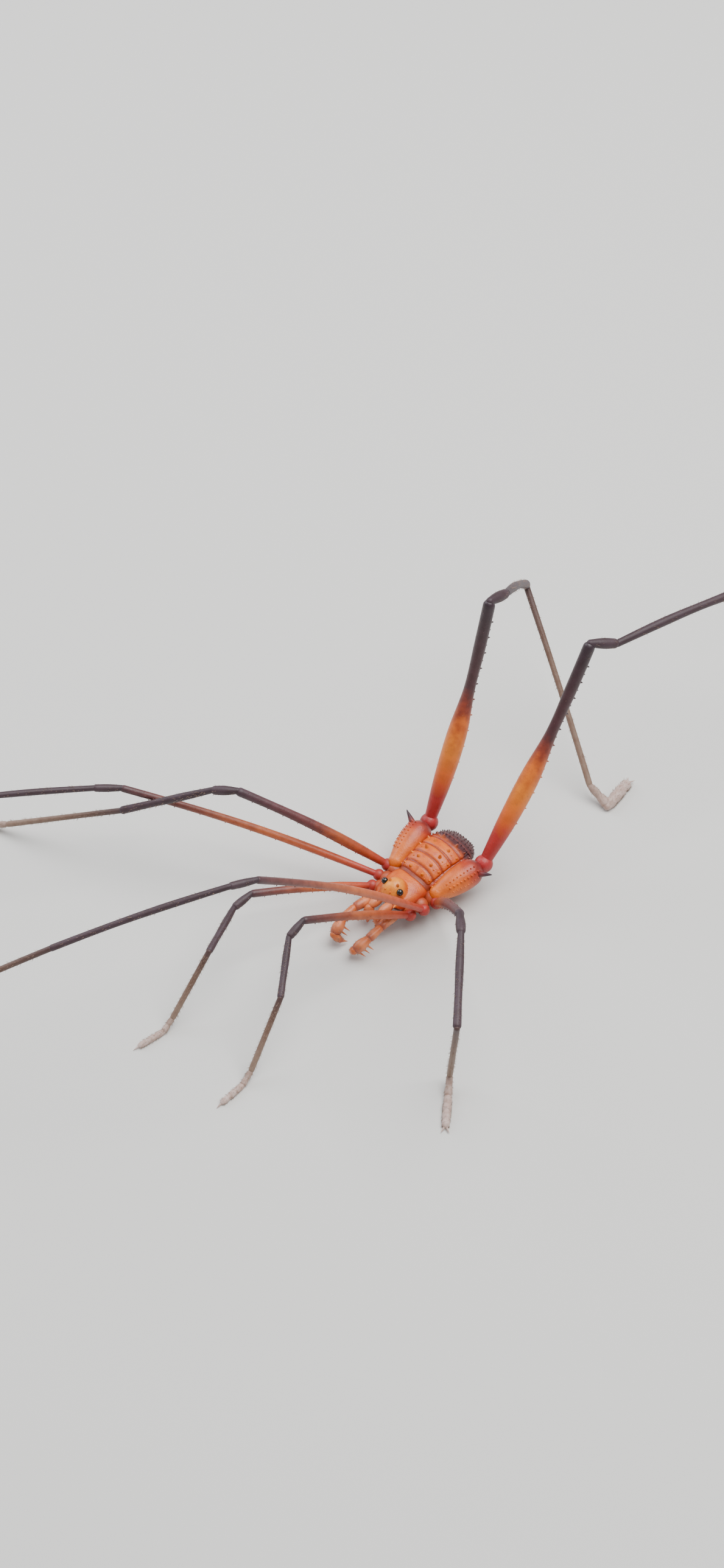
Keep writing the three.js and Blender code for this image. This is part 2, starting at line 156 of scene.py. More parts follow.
def finishPiece(piece, finish, nodes):  # painted, smoothed and tied to the solids it stands for
    piece.data.materials.clear()
    piece.data.materials.append(finishes[finish])
    clearSelection()
    piece.select_set(True)
    bpy.context.view_layer.objects.active = piece
    bpy.ops.object.shade_smooth_by_angle(angle=math.radians(creaseAngle))
    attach(piece, "root")
    if nodes:
        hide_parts(*nodes)


# Materials

def linear(hexColour):
    parts = [int(hexColour[i:i + 2], 16) / 255 for i in (1, 3, 5)]
    return [c / 12.92 if c <= 0.04045 else ((c + 0.055) / 1.055) ** 2.4 for c in parts] + [1.0]


def addNode(tree, kind, settings=None, links=None):  # links go from an output into a named socket
    node = tree.nodes.new(kind)
    for key, value in (settings or {}).items():
        if isinstance(key, str) and hasattr(node, key):
            setattr(node, key, value)
        else:
            node.inputs[key].default_value = value
    for key, source in (links or {}).items():
        tree.links.new(source, node.inputs[key])
    return node


def newMaterial(name):
    material = bpy.data.materials.new(name)
    material.use_nodes = True
    tree = material.node_tree
    return material, tree, tree.nodes["Principled BSDF"]


def ramp(tree, factor, stops):
    node = addNode(tree, "ShaderNodeValToRGB", links={"Fac": factor})
    elements = node.color_ramp.elements
    while len(elements) < len(stops):
        elements.new(0.5)
    for element, (position, colour) in zip(elements, stops):
        element.position = position
        element.color = linear(colour)
    return node.outputs["Color"]


colourA, colourB, mixedColour = 6, 7, 2  # the colour sockets of a Mix node


def mixed(tree, factor, first, second):  # second is a socket or a colour
    node = addNode(tree, "ShaderNodeMix", {"data_type": "RGBA"}, {"Factor": factor, colourA: first})
    if isinstance(second, bpy.types.NodeSocket):
        tree.links.new(second, node.inputs[colourB])
    else:
        node.inputs[colourB].default_value = linear(second)
    return node.outputs[mixedColour]


def grain(tree, size, detail=2.0):  # lumps about this many millimetres across
    where = addNode(tree, "ShaderNodeTexCoord").outputs["Object"]
    settings = {"Scale": 1 / (size * mm), "Detail": detail}
    return addNode(tree, "ShaderNodeTexNoise", settings, {"Vector": where}).outputs["Fac"]


def granules(tree, size):  # round raised grains about this far apart
    where = addNode(tree, "ShaderNodeTexCoord").outputs["Object"]
    cells = addNode(tree, "ShaderNodeTexVoronoi", {"Scale": 1 / (size * mm)}, {"Vector": where})
    flip = addNode(tree, "ShaderNodeMath", {"operation": "SUBTRACT", 0: 1.0}, {1: cells.outputs["Distance"]})
    return flip.outputs[0]


def vertexValue(tree, name):
    return addNode(tree, "ShaderNodeAttribute", {"attribute_name": name}).outputs["Fac"]


def wandering(tree, value, size, reach, clamp=False):  # moved up and down by noise, by half of reach at most
    settings = {"operation": "MULTIPLY_ADD", 1: reach, 2: -reach / 2}
    wander = addNode(tree, "ShaderNodeMath", settings, {0: grain(tree, size)}).outputs[0]
    added = addNode(tree, "ShaderNodeMath", {"operation": "ADD", "use_clamp": clamp}, {0: value, 1: wander})
    return added.outputs[0]


def mottled(tree, colour, size, dark, share):  # darkened in soft patches of this size
    patches = ramp(tree, grain(tree, size, 4.0), [(0.35, "#ffffff"), (0.7, dark)])
    settings = {"data_type": "RGBA", "blend_type": "MULTIPLY", "Factor": share}
    mix = addNode(tree, "ShaderNodeMix", settings, {colourA: colour, colourB: patches})
    return mix.outputs[mixedColour]


def bumped(tree, shader, height, distance, strength):
    settings = {"Strength": strength, "Distance": distance * mm}
    bump = addNode(tree, "ShaderNodeBump", settings, {"Height": height})
    tree.links.new(bump.outputs["Normal"], shader.inputs["Normal"])


def shieldCuticle():  # sclerotised cuticle of the back: orange, satin, finely granulate, dark at its rear
    material, tree, shader = newMaterial("shieldCuticle")
    rearward = wandering(tree, vertexValue(tree, "rearward"), 0.6, 0.5, clamp=True)
    base = ramp(tree, vertexValue(tree, "edge"),
                [(0.0, "#de6c16"), (0.5, "#d26016"), (0.72, "#b5401a"), (1.0, "#6c2420")])
    base = mixed(tree, vertexValue(tree, "crown"), base, "#ee9420")
    # painted shade: the grooves of the back are darkened towards #93330f by their depth, standing in for the
    # shade that falls in them
    base = mixed(tree, vertexValue(tree, "furrow"), base, "#93330f")
    rear = ramp(tree, rearward, [(0.2, "#b2441e"), (0.5, "#8a3228"), (0.9, "#4c262e")])
    base = mixed(tree, rearward, base, rear)
    tree.links.new(mottled(tree, base, 0.6, "#d99a70", 0.6), shader.inputs["Base Color"])
    shader.inputs["Roughness"].default_value = 0.4
    shader.inputs["Coat Weight"].default_value = 0.12
    shader.inputs["Coat Roughness"].default_value = 0.3
    shader.inputs["Subsurface Weight"].default_value = 0.08
    shader.inputs["Subsurface Scale"].default_value = 0.4 * mm
    bumped(tree, shader, granules(tree, 0.14), 0.03, 0.5)
    return material


# Cuticle whose colour runs along the limb, mottled, with fine grains of this size and depth
def limbCuticle(name, stops, roughness, size=0.7, bumpSize=0.13, bumpDepth=0.02):
    material, tree, shader = newMaterial(name)
    colour = ramp(tree, wandering(tree, vertexValue(tree, "alongLimb"), size, 0.1), stops)
    tree.links.new(mottled(tree, colour, size, "#cdb2a2", 0.6), shader.inputs["Base Color"])
    shader.inputs["Roughness"].default_value = roughness
    bumped(tree, shader, granules(tree, bumpSize), bumpDepth, 0.4)
    return material


def blackLens():  # simple eye: a smooth black cornea
    material, tree, shader = newMaterial("blackLens")
    colour = ramp(tree, grain(tree, 0.15), [(0.3, "#050404"), (0.8, "#17100d")])
    tree.links.new(colour, shader.inputs["Base Color"])
    shader.inputs["Roughness"].default_value = 0.06
    shader.inputs["Coat Weight"].default_value = 0.5
    return material


limbStops = {  # colours from root to tip
    "rear": [(0.0, "#6e3230"), (0.4, "#4e2a2c"), (1.0, "#38222a")],
    "underside": [(0.0, "#7c3420"), (0.5, "#a2442a"), (1.0, "#b8552c")],
    "coxa": [(0.0, "#de7018"), (0.4, "#d26018"), (0.58, "#b23c20"), (0.75, "#7e2a28"), (0.88, "#4a2a34"),
             (1.0, "#35242e")],
    "mouth": [(0.0, "#cf6a34"), (0.5, "#d98050"), (1.0, "#a24a34")],
    "hindFemur": [(0.0, "#ab2a2c"), (0.13, "#aa2820"), (0.2, "#d05a14"), (0.33, "#e07c18"), (0.44, "#d2661a"),
                  (0.52, "#8e3a24"), (0.6, "#4c2a2e"), (1.0, "#32242c")],
    "foreFemur": [(0.0, "#ab2f2a"), (0.14, "#bc5030"), (0.45, "#c06436"), (0.75, "#7a4238"), (1.0, "#4a3036")],
    "midFemur": [(0.0, "#a52c2a"), (0.12, "#a8421e"), (0.36, "#a04c22"), (0.52, "#6a3432"), (1.0, "#44303a")],
    "joint": [(0.0, "#3a2830"), (1.0, "#45323a")],
    "metatarsus": [(0.0, "#4e3836"), (0.4, "#735a4c"), (1.0, "#917a6a")],
    "tarsus": [(0.0, "#9c8478"), (0.3, "#bea69c"), (1.0, "#cbb6ae")],
    "hair": [(0.0, "#7d6556"), (1.0, "#a8917f")],
}
finishes = {
    "shield": shieldCuticle(),
    "rear": limbCuticle("rearCuticle", limbStops["rear"], 0.4),
    "underside": limbCuticle("undersideCuticle", limbStops["underside"], 0.45),
    "coxa": limbCuticle("coxaCuticle", limbStops["coxa"], 0.4, bumpSize=0.16, bumpDepth=0.03),
    "mouth": limbCuticle("mouthCuticle", limbStops["mouth"], 0.4),
    "femur": limbCuticle("hindFemurCuticle", limbStops["hindFemur"], 0.42, 0.8, bumpSize=0.15, bumpDepth=0.03),
    "foreFemur": limbCuticle("foreFemurCuticle", limbStops["foreFemur"], 0.45),
    "midFemur": limbCuticle("midFemurCuticle", limbStops["midFemur"], 0.5),
    "joint": limbCuticle("darkCuticle", limbStops["joint"], 0.55),
    "metatarsus": limbCuticle("metatarsusCuticle", limbStops["metatarsus"], 0.55),
    "tarsus": limbCuticle("tarsusCuticle", limbStops["tarsus"], 0.7, 0.4),
    "hair": limbCuticle("paleSeta", limbStops["hair"], 0.6, 0.3),
    "eye": blackLens(),
}


# One shape for every long part: a ball primitive drawn out along its axis

ringDepth, ringSharpness = 0.16, 8  # the narrow rings of the tarsus, as a share of its girth


def limbFrame(start, end):
    axis = unit(np.array(end) - np.array(start))
    flank = unit(np.cross(axis, [0, 0, 1] if abs(axis[2]) < 0.99 else [0, 1, 0]))
    return axis, flank, np.cross(flank, axis)


# radii are even stations from root to tip, ripple counts the rings of the tarsus, and span is the limb's share
# of alongLimb
def limb(name, start, end, radii, bow=0.0, around=20, rings=48, tip=0.0, ripple=0, span=(0.0, 1.0)):
    start, end = np.array(start, float), np.array(end, float)
    length = np.linalg.norm(end - start)
    axis, flank, dorsal = limbFrame(start, end)
    piece = ballPrimitive(name, around, rings)
    points = coordinates(piece)
    polar = np.arccos(np.clip(points[:, 2], -1, 1))
    across = np.maximum(np.sin(polar), 1e-9)
    along = -radii[0] + (1 - np.cos(polar)) / 2 * (length + radii[0] + tip)
    share = np.clip(along / length, 0, 1)
    girth = smoothThrough(np.linspace(0, 1, len(radii)), radii, share)
    rootRound = np.clip((along + radii[0]) / radii[0], 0, 1)
    tipSize = max(radii[-1], tip)
    tipRound = np.clip((length + tip - along) / tipSize, 0, 1)
    girth = girth * np.sqrt(1 - (1 - rootRound) ** 2) * np.sqrt(1 - (1 - tipRound) ** 2)
    if ripple:
        girth = girth * (1 - ringDepth * np.abs(np.cos(np.pi * ripple * share)) ** ringSharpness)
    bend = bow * np.sin(np.pi * share)
    made = start + np.outer(along, axis) + np.outer(points[:, 0] / across * girth + bend, dorsal)
    made -= np.outer(points[:, 1] / across * girth, flank)
    place(piece, made)
    mark(piece, "alongLimb", span[0] + share * (span[1] - span[0]))
    return piece


def spineModel(name, around, rings):  # base at the origin, pointing up +Z, one high and one wide
    piece = ballPrimitive(name, around, rings)
    points = coordinates(piece)
    height = (points[:, 2] + 1) / 2
    girth = 0.5 * (1 - height) ** 0.8 + 0.03
    radial = np.hypot(points[:, 0], points[:, 1])
    scale = np.where(radial > 1e-6, girth / np.maximum(radial, 1e-6), 0)
    made = np.column_stack([points[:, 0] * scale, points[:, 1] * scale, height])
    piece.data.vertices.foreach_set("co", made.ravel())
    return piece


def scatter(name, model, spots, along=None, tipRise=0.0):  # a copy at each spot (place, way out, width, height)
    shape = coordinates(model)
    faces = [tuple(polygon.vertices) for polygon in model.data.polygons]
    allPoints, allFaces, marks = [], [], []
    for i, (at, out, width, height) in enumerate(spots):
        out = unit(out)
        side = unit(np.cross(out, [0.3, 0.2, 1.0] if abs(out[2]) < 0.9 else [1, 0, 0]))
        other = np.cross(out, side)
        points = np.outer(shape[:, 0] * width, side) + np.outer(shape[:, 1] * width, other)
        points += np.outer(shape[:, 2] * height, out) + np.array(at)
        allFaces += [tuple(v + i * len(shape) for v in face) for face in faces]
        allPoints.append(points)
        marks += list((along[i] if along is not None else 0.5) + tipRise * shape[:, 2])
    mesh = bpy.data.meshes.new(name)
    mesh.from_pydata(((np.vstack(allPoints) + bodyShift) * mm).tolist(), [], allFaces)
    piece = bpy.data.objects.new(name, mesh)
    bpy.context.collection.objects.link(piece)
    mark(piece, "alongLimb", marks)
    return piece


hairWidth, hairSink = 0.035, 0.04  # millimetres; the root is sunk into the limb
hairLean = 0.9  # towards the tip, for each step outwards
bakePatch = 0.003  # of the map's width


def hairSpots(start, end, radii, bow, count, height, under):  # fine setae that lean towards the tip
    axis, flank, dorsal = limbFrame(start, end)
    share = random.uniform(0.05, 0.97, count)
    turn = random.uniform(0.3, 0.7, count) if under else random.uniform(0, 1, count)
    girth = smoothThrough(np.linspace(0, 1, len(radii)), radii, share)
    out = np.outer(np.cos(turn * 2 * np.pi), dorsal) + np.outer(np.sin(turn * 2 * np.pi), flank)
    middle = start + np.outer(share, end - start) + np.outer(bow * np.sin(np.pi * share), dorsal)
    tall = height * random.uniform(0.7, 1.2, count)
    feet = middle + out * (girth - hairSink)[:, None]
    spots = [(feet[i], out[i] + axis * hairLean, hairWidth, tall[i]) for i in range(count)]
    return spots, np.column_stack([share, turn])


def bakePatches(piece, model, roots):  # each hair is a small patch at its root on the unrolled limb
    shape = coordinates(model)
    loops = np.empty(len(piece.data.loops), int)
    piece.data.loops.foreach_get("vertex_index", loops)
    layer = piece.data.uv_layers.new(name="OFBake")
    uv = roots[loops // len(shape)] + shape[loops % len(shape), :2] * bakePatch
    layer.data.foreach_set("uv", uv.ravel())


def removePiece(piece):
    bpy.data.objects.remove(piece, do_unlink=True)


# The trunk: half width, top and bottom along its length, the same stations as the solids

trunkSizes = {
    "y": [-5.3, -4.8, -3.9, -2.8, -1.8, -0.7, 0.8, 2.2, 3.4, 4.4, 5.0],
    "half": [1.2, 1.65, 1.95, 2.05, 2.0, 2.15, 2.3, 2.35, 2.2, 1.85, 1.15],
    "top": [2.95, 3.25, 3.45, 3.5, 3.45, 3.95, 4.35, 4.25, 3.85, 3.35, 2.85],
    "bottom": [1.9, 1.45, 1.1, 0.95, 0.9, 0.85, 0.85, 0.9, 1.1, 1.4, 1.9],
    "squareness": 0.9,
}
backSizes = {
    "waist": -1.75, "waistDepth": 0.24, "waistWidth": 0.2, "waistCurve": 0.12,
    "grooves": [-0.75, 0.35, 1.45, 2.6], "grooveDepth": 0.1, "grooveWidth": 0.12, "grooveCurve": 0.14,
    "sideAngle": 1.02, "sideDepth": 0.12, "sideWidth": 0.07, "sideStart": -1.65,
    "middleAt": -1.25, "middleLength": 0.35, "middleWidth": 0.05, "middleDepth": 0.07,
    "shieldEnd": 3.75, "edgeAngle": 1.7, "thickness": 0.16, "fadeStart": 1.9, "fadeEnd": 3.5,
}
moundSizes = {"y": -4.2, "half": 1.2, "length": 1.3, "height": 1.0, "fullness": 0.62, "innerShare": 0.6}


def trunkPoint(y, angle, lift):  # the angle is 0 on the back, positive to the left and pi below
    stations = trunkSizes["y"]
    half, top, bottom = (smoothThrough(stations, trunkSizes[key], y) for key in ("half", "top", "bottom"))
    middle = (top + bottom) / 2
    across = np.sign(np.sin(angle)) * np.abs(np.sin(angle)) ** trunkSizes["squareness"]
    height = np.sign(np.cos(angle)) * np.abs(np.cos(angle)) ** trunkSizes["squareness"]
    reach = np.where(height > 0, top - middle, middle - bottom)
    along = np.broadcast_to(y, across.shape)
    return np.column_stack([across * (half + lift), along, middle + height * (reach + lift)])


def backRelief(y, angle):  # furrows in millimetres, and how deep in one each point is
    s = backSizes
    aside = np.abs(angle)
    inside = softStep(s["sideAngle"] - aside, 0.05)
    behind = softStep(y - s["sideStart"], 0.08)
    furrow = bell(y - s["waist"] - s["waistCurve"] * aside, s["waistWidth"]) * s["waistDepth"]
    for groove in s["grooves"]:
        line = y - groove + s["grooveCurve"] * aside ** 2
        furrow = furrow + bell(line, s["grooveWidth"]) * s["grooveDepth"] * inside
    side = bell(aside - s["sideAngle"], s["sideWidth"]) * s["sideDepth"] * behind
    middle = bell(angle, s["middleWidth"]) * bell(y - s["middleAt"], s["middleLength"]) * s["middleDepth"]
    depth = furrow + side + middle
    # the second value, the groove depth as a share of one, is also the mask for the painted shade in the
    # grooves
    return -depth, np.clip(depth / s["grooveDepth"], 0, 1)


def moundRelief(points):
    m = moundSizes
    rho = (points[:, 0] / m["half"]) ** 2 + ((points[:, 1] - m["y"]) / m["length"]) ** 2
    rise = np.clip(1 - rho, 0, 1) ** m["fullness"]
    return m["height"] * rise, rise


def rearShare(y):  # 0 on the orange part of the back, 1 at its dark rear
    return np.clip((y - backSizes["fadeStart"]) / (backSizes["fadeEnd"] - backSizes["fadeStart"]), 0, 1)


plateShape = {"corner": 1 / 3, "innerSlope": 4, "liftSlope": 3}


# A closed plate over the trunk from front to rear, reaching edge radians to each side; mesh is (around, rings)
def shellPlate(name, front, rear, edge, thickness, mesh, lift=0.0, centre=0.0, roundness=6, relief=None):
    piece = ballPrimitive(name, *mesh)
    points = coordinates(piece)
    polar = np.arccos(np.clip(points[:, 2], -1, 1))
    turn = np.arctan2(points[:, 1], points[:, 0])
    y = front + (1 - np.cos(polar)) / 2 * (rear - front)
    cap = (1 - np.abs(np.cos(polar)) ** roundness) ** plateShape["corner"]
    angle = edge * np.cos(turn) * cap
    outside = points[:, 1] >= 0
    inner = np.where(outside, 0, np.clip(np.abs(np.sin(turn)) * plateShape["innerSlope"], 0, 1)) * cap
    raised = lift * np.clip(np.abs(np.sin(turn)) * plateShape["liftSlope"], 0, 1) * cap
    depth, furrow = relief(y, angle) if relief else (0 * y, 0 * y)
    made = trunkPoint(y, centre + angle, raised + np.where(outside, depth, 0) - thickness * inner)
    place(piece, made)
    # groove depth, which the shield material turns into painted shade in the grooves
    mark(piece, "furrow", furrow)
    mark(piece, "edge", np.abs(angle) / edge)
    fade = rearShare(y)
    mark(piece, "rearward", fade * fade * (3 - 2 * fade))
    mark(piece, "alongLimb", (y - front) / (rear - front))
    return piece, made, outside


areaPairs = {-1.25: 0.3, -0.2: 0.3, 0.9: 0.5, 2.0: 0.3, 3.1: 0.3}  # where the middle pairs are, and how tall


def backSpots():  # (y, angle, width, height): pairs on the areas, a row along each side and one at the rear
    spots = []
    for y, tall in areaPairs.items():
        for side in (1, -1):
            spots.append((y, 0.32 * side, 0.42, tall))
            spots.append((y + 0.1, 0.8 * side, 0.3, 0.22))
            spots.append((y - 0.15, 0.55 * side, 0.18, 0.12))
    for i in range(14):
        for side in (1, -1):
            spots.append((-1.2 + i * 0.36, 1.22 * side, 0.26, 0.16))
    for i in range(9):
        spots.append((3.55, -0.8 + i * 0.2, 0.24, 0.18))
    return spots


bumpSink = 0.25  # share of a tubercle's height that is sunk into the plate


def onTrunk(spots, relief=None):  # from (y, angle, width, height) to places and ways out
    made = []
    for y, angle, width, height in spots:
        ys, angles = np.array([y, y + 0.05, y]), np.array([angle, angle, angle + 0.03])
        lift = relief(ys, angles)[0] if relief else np.zeros(3)
        at, ahead, aside = trunkPoint(ys, angles, lift)
        out = np.cross(ahead - at, aside - at)
        out = out if out @ np.array([math.sin(angle), 0, math.cos(angle)]) > 0 else -out
        made.append((at - unit(out) * height * bumpSink, out, width, height * (1 + bumpSink)))
    return made


print("scene: body")
blunt = spineModel("bluntModel", 8, 6)
shield, shieldPoints, outside = shellPlate(
    "dorsalShield", trunkSizes["y"][0], backSizes["shieldEnd"], backSizes["edgeAngle"], backSizes["thickness"],
    (176, 230), roundness=10, relief=backRelief)
mound, crown = moundRelief(shieldPoints)
shieldPoints[:, 2] += np.where(outside, mound, mound * moundSizes["innerShare"])
place(shield, shieldPoints)
mark(shield, "crown", crown)
shieldBumps = scatter("shieldBumps", blunt, onTrunk(backSpots(), backRelief))
frontBumps = [([x, -5.12, 2.82], [x * 0.3, -1, 0.4], 0.34, 0.42) for x in (-1.1, -0.4, 0.4, 1.1)]
moundBumps = [([0.42 * s, -4.15, 4.22], [0.25 * s, 0, 1], 0.36, 0.45) for s in (1, -1)]
moundBumps += [([0.3 * s, -4.95, 3.9], [0.2 * s, -0.7, 0.8], 0.2, 0.2) for s in (1, -1)]
headBumps = scatter("headBumps", blunt, frontBumps + moundBumps)
for piece in (shieldBumps, headBumps):
    mark(piece, "edge", 0.35)
    mark(piece, "furrow", 0.0)
    mark(piece, "crown", 0.35)
    mark(piece, "rearward", rearShare(coordinates(piece)[:, 1] / mm - bodyShift[1]))
shield = joinPieces("dorsalShield", [shield, shieldBumps, headBumps])
finishPiece(shield, "shield", ["carapace", "scutum", "eye_mound"])

tergiteSizes = {"rows": [(3.62, 4.2), (4.05, 4.62), (4.48, 4.96)], "edges": [1.5, 1.4, 1.3], "thickness": 0.1}
tergites = []
for i, (front, rear) in enumerate(tergiteSizes["rows"]):
    band, _, _ = shellPlate("tergite%d" % (i + 1), front, rear, tergiteSizes["edges"][i],
                            tergiteSizes["thickness"], (96, 24), lift=0.02)
    spots = [(rear - 0.14, -1.1 + k * 0.22, 0.18, 0.16) for k in range(11)]
    tergites += [band, scatter("tergiteBumps%d" % i, blunt, onTrunk(spots))]
finishPiece(joinPieces("freeTergites", tergites), "rear", ["free_tergites"])

analSizes = {"front": 4.1, "rear": 4.97, "edge": 0.95, "thickness": 0.12,
             "discAt": [0, 4.5, 2.3], "discRadii": [1.45, 0.45, 0.78]}
anal, _, _ = shellPlate("analPlate", analSizes["front"], analSizes["rear"], analSizes["edge"],
                        analSizes["thickness"], (64, 32), lift=0.03, centre=math.pi)
disc = ballPrimitive("analDisc", 48, 32)
place(disc, coordinates(disc) * analSizes["discRadii"] + analSizes["discAt"])
mark(disc, "alongLimb", 0.6)
finishPiece(joinPieces("analPlate", [anal, disc]), "rear", ["anal_operculum"])

# Below: the trunk's own skin, three pairs of coxae, genital plate and sternites
coreSizes = {"front": -5.15, "length": 10.05, "middleHeight": 2.4, "sink": 0.14, "roundness": 20, "corner": 0.4}
core = ballPrimitive("trunkCore", 96, 96)
corePoints = coordinates(core)
corePolar = np.arccos(np.clip(corePoints[:, 2], -1, 1))
coreTurn = np.arctan2(corePoints[:, 0], corePoints[:, 1])
coreY = coreSizes["front"] + (1 - np.cos(corePolar)) / 2 * coreSizes["length"]
coreCap = (1 - np.abs(np.cos(corePolar)) ** coreSizes["roundness"]) ** coreSizes["corner"]
coreSkin = trunkPoint(coreY, coreTurn, -coreSizes["sink"])
coreMiddle = coreSkin * [0, 1, 0] + [0, 0, coreSizes["middleHeight"]]
place(core, coreMiddle + (coreSkin - coreMiddle) * coreCap[:, None])
mark(core, "alongLimb", 0.2)

legHips = {1: [2.4, -4.5, 2.1], 2: [2.85, -3.2, 2.1], 3: [3.1, -1.8, 2.1], 4: [3.45, 3.9, 3.0]}
coxaRoots = {1: [0.5, -3.0, 1.6], 2: [0.6, -2.3, 1.5], 3: [0.7, -1.4, 1.5]}
coxaGirths = [0.5, 0.62, 0.72, 0.76]
sterniteRows = [(-0.6, 0.5), (0.4, 1.3), (1.2, 2.1), (2.0, 2.9), (2.8, 3.7)]
genitalSizes = {"at": [0, -0.9, 0.9], "radii": [0.6, 0.8, 0.18]}
below = [core]
for number, root in coxaRoots.items():
    for side in (1, -1):
        hip = mirrored(legHips[number], side) * [0.97, 1, 1]
        below.append(limb("coxa%d" % number, mirrored(root, side), hip, coxaGirths, around=24, rings=32))
for i, (front, rear) in enumerate(sterniteRows):
    plate, _, _ = shellPlate("sternite%d" % i, front, rear, 0.9, 0.08, (64, 24), lift=0.02, centre=math.pi)
    below.append(plate)
genital = ballPrimitive("genitalPlate", 32, 16)
place(genital, coordinates(genital) * genitalSizes["radii"] + genitalSizes["at"])
mark(genital, "alongLimb", 0.9)
below.append(genital)
finishPiece(joinPieces("underside", below), "underside", ["underside"])

print("scene: eyes and mouthparts")
for word, side in (("Left", 1), ("Right", -1)):
    lens = ballPrimitive("eye" + word, 32, 24)
    at = mirrored([bodyEye["out"], bodyEye["y"], bodyEye["z"]], side)
    place(lens, coordinates(lens) * bodyEye["radius"] + at)
    finishPiece(lens, "eye", ["eye_" + word.lower()])

cheliceraSizes = {
    "bulla": ([0.62, -5.8, 2.6], [0.46, 0.95, 0.5]),
    "hand": ([0.64, -6.7, 1.95], [0.46, 0.55, 0.85]),
    "fingers": [([0.54, -6.75, 1.5], [0.56, -7.0, 0.65], 0.26), ([0.8, -6.45, 1.5], [0.62, -6.6, 0.7], 0.26)],
}
palpJoints = [[1.35, -5.4, 1.85], [1.65, -7.7, 2.3], [1.6, -9.1, 2.0], [1.3, -10.5, 1.35], [0.7, -10.1, 0.6]]
palpGirths = [[0.42, 0.5, 0.46, 0.42], [0.36, 0.42, 0.42], [0.38, 0.55, 0.42], [0.34, 0.38, 0.22]]
palpBow = 0.2
palpHairs = (70, 0.2, 0)  # count, height, brush


def chelicera(side):
    parts = []
    for key in ("bulla", "hand"):
        at, radii = cheliceraSizes[key]
        lump = ballPrimitive(key, 32, 24)
        place(lump, coordinates(lump) * radii + mirrored(at, side))
        mark(lump, "alongLimb", 0.3)
        parts.append(lump)
    teeth = []
    for lean, (start, end, radius) in zip((1, -1), cheliceraSizes["fingers"]):
        start, end = mirrored(start, side), mirrored(end, side)
        girths = [radius, radius * 0.72, 0.06]
        parts.append(limb("finger", start, end, girths, around=16, rings=24, span=(0.4, 1.0)))
        for i in range(4):
            out = unit([0.15 * lean * side, 0.6 * lean, 0])
            teeth.append((start + (end - start) * (0.4 + i * 0.14) + out * 0.1, out, 0.12, 0.14))
    at, radii = cheliceraSizes["hand"]
    for i in range(8):
        out = unit([0.7 * math.sin(i * 2.4), -0.7, 0.7 * math.cos(i * 2.4)])
        teeth.append((mirrored(at, side) + out * radii, out, 0.12, 0.12))
    return parts + [scatter("cheliceraTeeth", blunt, teeth, [0.8] * len(teeth))]


def palpBase(side):
    root, knee = (mirrored(joint, side) for joint in palpJoints[:2])
    parts = [limb("palpFemur", root, knee, palpGirths[0], bow=palpBow)]
    spots = []
    for i in range(4):
        at = root + (knee - root) * (0.25 + i * 0.17) + np.array([0, 0, -0.2])
        spots.append((at, [0.2 * side, -0.2, -1], 0.34, 0.5))
    return parts + [scatter("palpFemurSpines", blunt, spots)]


def palpHand(side):
    knee, wrist, heel, tip = (mirrored(joint, side) for joint in palpJoints[1:])
    parts = [limb("palpPatella", knee, wrist, palpGirths[1], tip=0.1, rings=32),
             limb("palpTibia", wrist, heel, palpGirths[2], tip=0.1, rings=32),
             limb("palpTarsus", heel, tip, palpGirths[3], tip=0.1, rings=32)]
    claw = unit(tip - heel) + np.array([0, 0.9, 0])
    spots = [(tip - unit(claw) * 0.15, claw, 0.3, 0.85)]
    for i in range(3):
        at = wrist + (heel - wrist) * (0.3 + i * 0.3)
        for lean in (1, -1):
            out = unit([lean * 0.8, 0.5, -0.75])
            spots += [(at + out * 0.3, out, 0.24, 0.95), (at + out * 0.3, out, 0.44, 0.42)]
    return parts + [scatter("palpSpines", blunt, spots)]


for word, side in (("Left", 1), ("Right", -1)):
    for name, node, make in (("chelicera", "chelicera", chelicera), ("palpBase", "pedipalp_base", palpBase),
                             ("palpHand", "pedipalp_hand", palpHand)):
        finishPiece(joinPieces(name + word, make(side)), "mouth", ["%s_%s" % (node, word.lower())])

print("scene: hind coxae")
coxaSizes = {
    "root": [2.6, -1.2, 2.5], "end": [3.4, 3.1, 3.05], "radii": [0.75, 1.15, 1.3, 1.15],
    "spurAt": [4.2, 2.52, 3.4], "spurOut": [0.85, 0.3, 0.4], "spurWidth": 0.62, "spurHeight": 1.4,
    "bumpTurns": (0.35, 0.8, 1.25), "bumpWidths": (0.22, 0.3, 0.2), "bumpRows": 9,
}


def hindCoxa(side):
    root, end = mirrored(coxaSizes["root"], side), mirrored(coxaSizes["end"], side)
    parts = [limb("coxa4", root, end, coxaSizes["radii"], around=48, rings=64, tip=0.4, span=(0.0, 0.75))]
    spurAt, spurOut = mirrored(coxaSizes["spurAt"], side), mirrored(coxaSizes["spurOut"], side)
    spur = [(spurAt, spurOut, coxaSizes["spurWidth"], coxaSizes["spurHeight"])]
    spots, along = [], []
    _, flank, dorsal = limbFrame(root, end)
    outward = flank if flank[0] * side > 0 else -flank
    for row in range(coxaSizes["bumpRows"]):
        for i, (turn, size) in enumerate(zip(coxaSizes["bumpTurns"], coxaSizes["bumpWidths"])):
            share = 0.2 + row * 0.085 + i * 0.025
            out = dorsal * math.cos(turn) + outward * math.sin(turn)
            girth = smoothThrough(np.linspace(0, 1, 4), coxaSizes["radii"], np.array([share]))[0]
            spots.append((root + (end - root) * share + out * (girth - 0.06), out, size, size * 0.9))
            along.append(0.15 + row * 0.06)
    return parts + [scatter("coxaSpur", blunt, spur, [0.7], 0.35), scatter("coxaBumps", blunt, spots, along)]


for word, side in (("Left", 1), ("Right", -1)):
    finishPiece(joinPieces("coxa4" + word, hindCoxa(side)), "coxa", ["coxa4_" + word.lower()])

